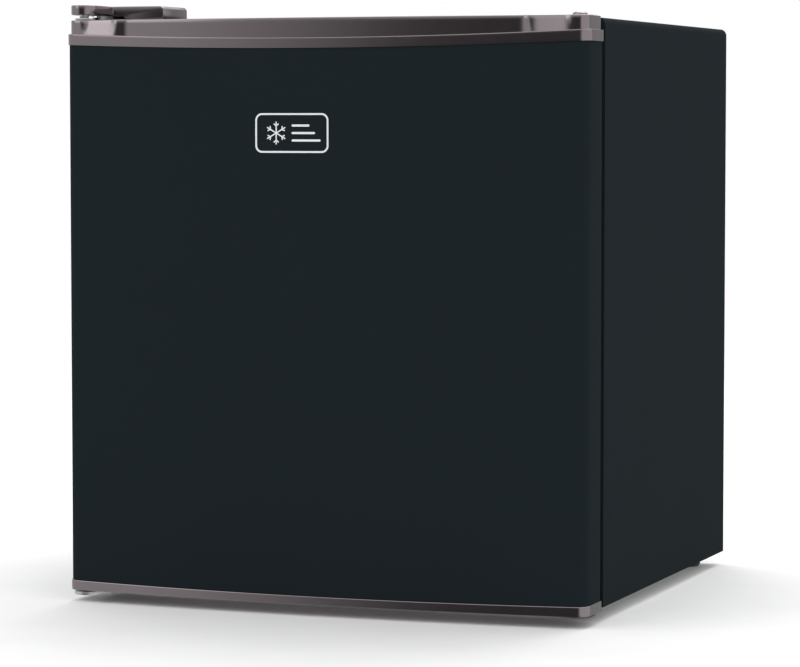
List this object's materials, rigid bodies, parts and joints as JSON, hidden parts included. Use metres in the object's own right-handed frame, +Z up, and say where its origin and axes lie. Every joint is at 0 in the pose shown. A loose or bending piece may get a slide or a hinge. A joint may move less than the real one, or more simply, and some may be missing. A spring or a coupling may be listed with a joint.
{
  "type": "mini fridge",
  "caption": "Compact black single-door refrigerator with a bowed left-hung door, metallic door caps, small freezer box, glass shelf and rear compressor bay.",
  "frame": {"origin": "on the floor, under the middle of the outline", "axes": "+X to the right seen from the front, the door faces -Y, +Z up"},
  "size_m": [0.47, 0.445, 0.514],
  "materials": {
    "painted_black": "satin black enamel over steel",
    "metallic_trim": "warm grey metallic lacquer, glossy",
    "bare_steel": "zinc-plated",
    "white_liner": "moulded white, semi-gloss",
    "insulation_foam": "rigid foam, open-cell cut face",
    "evaporator_aluminium": "roll-bonded sheet, matte",
    "copper": "drawn copper tube",
    "compressor_paint": "gloss black stove enamel",
    "black_plastic": "moulded, fine grain",
    "rubber": "moulded",
    "gasket_vinyl": "soft grey vinyl",
    "ferrite_strip": "matte bonded ferrite",
    "nylon": "natural nylon",
    "shelf_glass": "clear tempered glass, ground edge",
    "clear_plastic": "clear moulded styrene",
    "badge_metal": "satin silver outline on a dark plate"
  },
  "bodies": {
    "cabinet": {"cabinet_wrapper": "painted_black", "back_panel": "painted_black", "top_hinge_cover": "metallic_trim", "cabinet_top_plug": "metallic_trim", "bay_panel": "bare_steel", "base_panel": "bare_steel", "compressor_plate": "bare_steel", "top_hinge_bracket": "bare_steel", "lower_hinge_bracket": "bare_steel", "right_foot_bracket": "bare_steel", "top_hinge_screw_1": "bare_steel", "top_hinge_screw_2": "bare_steel", "lower_hinge_screw_1": "bare_steel", "lower_hinge_screw_2": "bare_steel", "thermostat_body": "bare_steel", "inner_liner": "white_liner", "freezer_frame": "white_liner", "evaporator_hanger": "white_liner", "tray_runner_left": "white_liner", "tray_runner_right": "white_liner", "thermostat_housing": "white_liner", "cabinet_foam": "insulation_foam", "evaporator": "evaporator_aluminium", "filter_drier": "copper", "suction_tube": "copper", "discharge_tube": "copper", "condenser_coil": "copper", "sensor_bulb": "copper", "compressor": "compressor_paint", "relay_cover": "black_plastic", "compressor_grommet_1": "rubber", "compressor_grommet_2": "rubber", "compressor_grommet_3": "rubber", "compressor_grommet_4": "rubber", "cord_gland": "rubber", "rear_foot_left": "rubber", "rear_foot_right": "rubber", "hinge_washer": "nylon"},
    "door": {"door_skin": "painted_black", "door_top_cap": "metallic_trim", "door_bottom_cap": "metallic_trim", "door_foam": "insulation_foam", "door_liner": "white_liner", "door_gasket": "gasket_vinyl", "gasket_magnet": "ferrite_strip", "top_bush": "nylon", "bottom_bush": "nylon", "door_cap_plug": "metallic_trim", "upper_door_bin": "clear_plastic", "lower_door_bin": "clear_plastic", "badge": "badge_metal"},
    "freezer_flap": {"freezer_flap": "clear_plastic"},
    "drip_tray": {"drip_tray": "clear_plastic"},
    "shelf": {"shelf_glass": "shelf_glass", "shelf_trim": "white_liner"},
    "thermostat_knob": {"thermostat_knob": "white_liner"},
    "left_foot_stud": {"front_foot_stud_left": "bare_steel"},
    "left_foot_pad": {"front_foot_pad_left": "black_plastic"},
    "right_foot_stud": {"front_foot_stud_right": "bare_steel"},
    "right_foot_pad": {"front_foot_pad_right": "black_plastic"}
  },
  "joints": [
    {"name": "door_hinge", "type": "hinge", "parent": "cabinet", "child": "door", "pos_m": [-0.223, -0.1965, 0.25], "axis": [0, 0, -1], "range_deg": [0, 120]},
    {"name": "freezer_flap_hinge", "type": "hinge", "parent": "cabinet", "child": "freezer_flap", "pos_m": [-0.085, -0.05, 0.446], "axis": [-1, 0, 0], "range_deg": [0, 90]},
    {"name": "drip_tray_slide", "type": "slide", "parent": "cabinet", "child": "drip_tray", "axis": [0, -1, 0], "range_m": [0, 0.075]},
    {"name": "shelf_slide", "type": "slide", "parent": "cabinet", "child": "shelf", "axis": [0, -1, 0], "range_m": [0, 0.025]},
    {"name": "thermostat_turn", "type": "hinge", "parent": "cabinet", "child": "thermostat_knob", "pos_m": [0.1632, -0.12, 0.4327], "axis": [0, 1, 0], "range_deg": [0, 300]},
    {"name": "left_foot_lift", "type": "slide", "parent": "cabinet", "child": "left_foot_stud", "axis": [0, 0, -1], "range_m": [0, 0.009]},
    {"name": "left_foot_turn", "type": "hinge", "parent": "left_foot_stud", "child": "left_foot_pad", "pos_m": [-0.205, -0.1385, 0.004], "axis": [0, 0, -1], "range_deg": [0, 2520]},
    {"name": "right_foot_lift", "type": "slide", "parent": "cabinet", "child": "right_foot_stud", "axis": [0, 0, -1], "range_m": [0, 0.009]},
    {"name": "right_foot_turn", "type": "hinge", "parent": "right_foot_stud", "child": "right_foot_pad", "pos_m": [0.205, -0.1385, 0.004], "axis": [0, 0, -1], "range_deg": [0, 2520]}
  ],
  "couplings": [
    {"joint": "left_foot_lift", "follows": "left_foot_turn", "m_per_rad": 0.00019894},
    {"joint": "right_foot_lift", "follows": "right_foot_turn", "m_per_rad": 0.00019894}
  ]
}
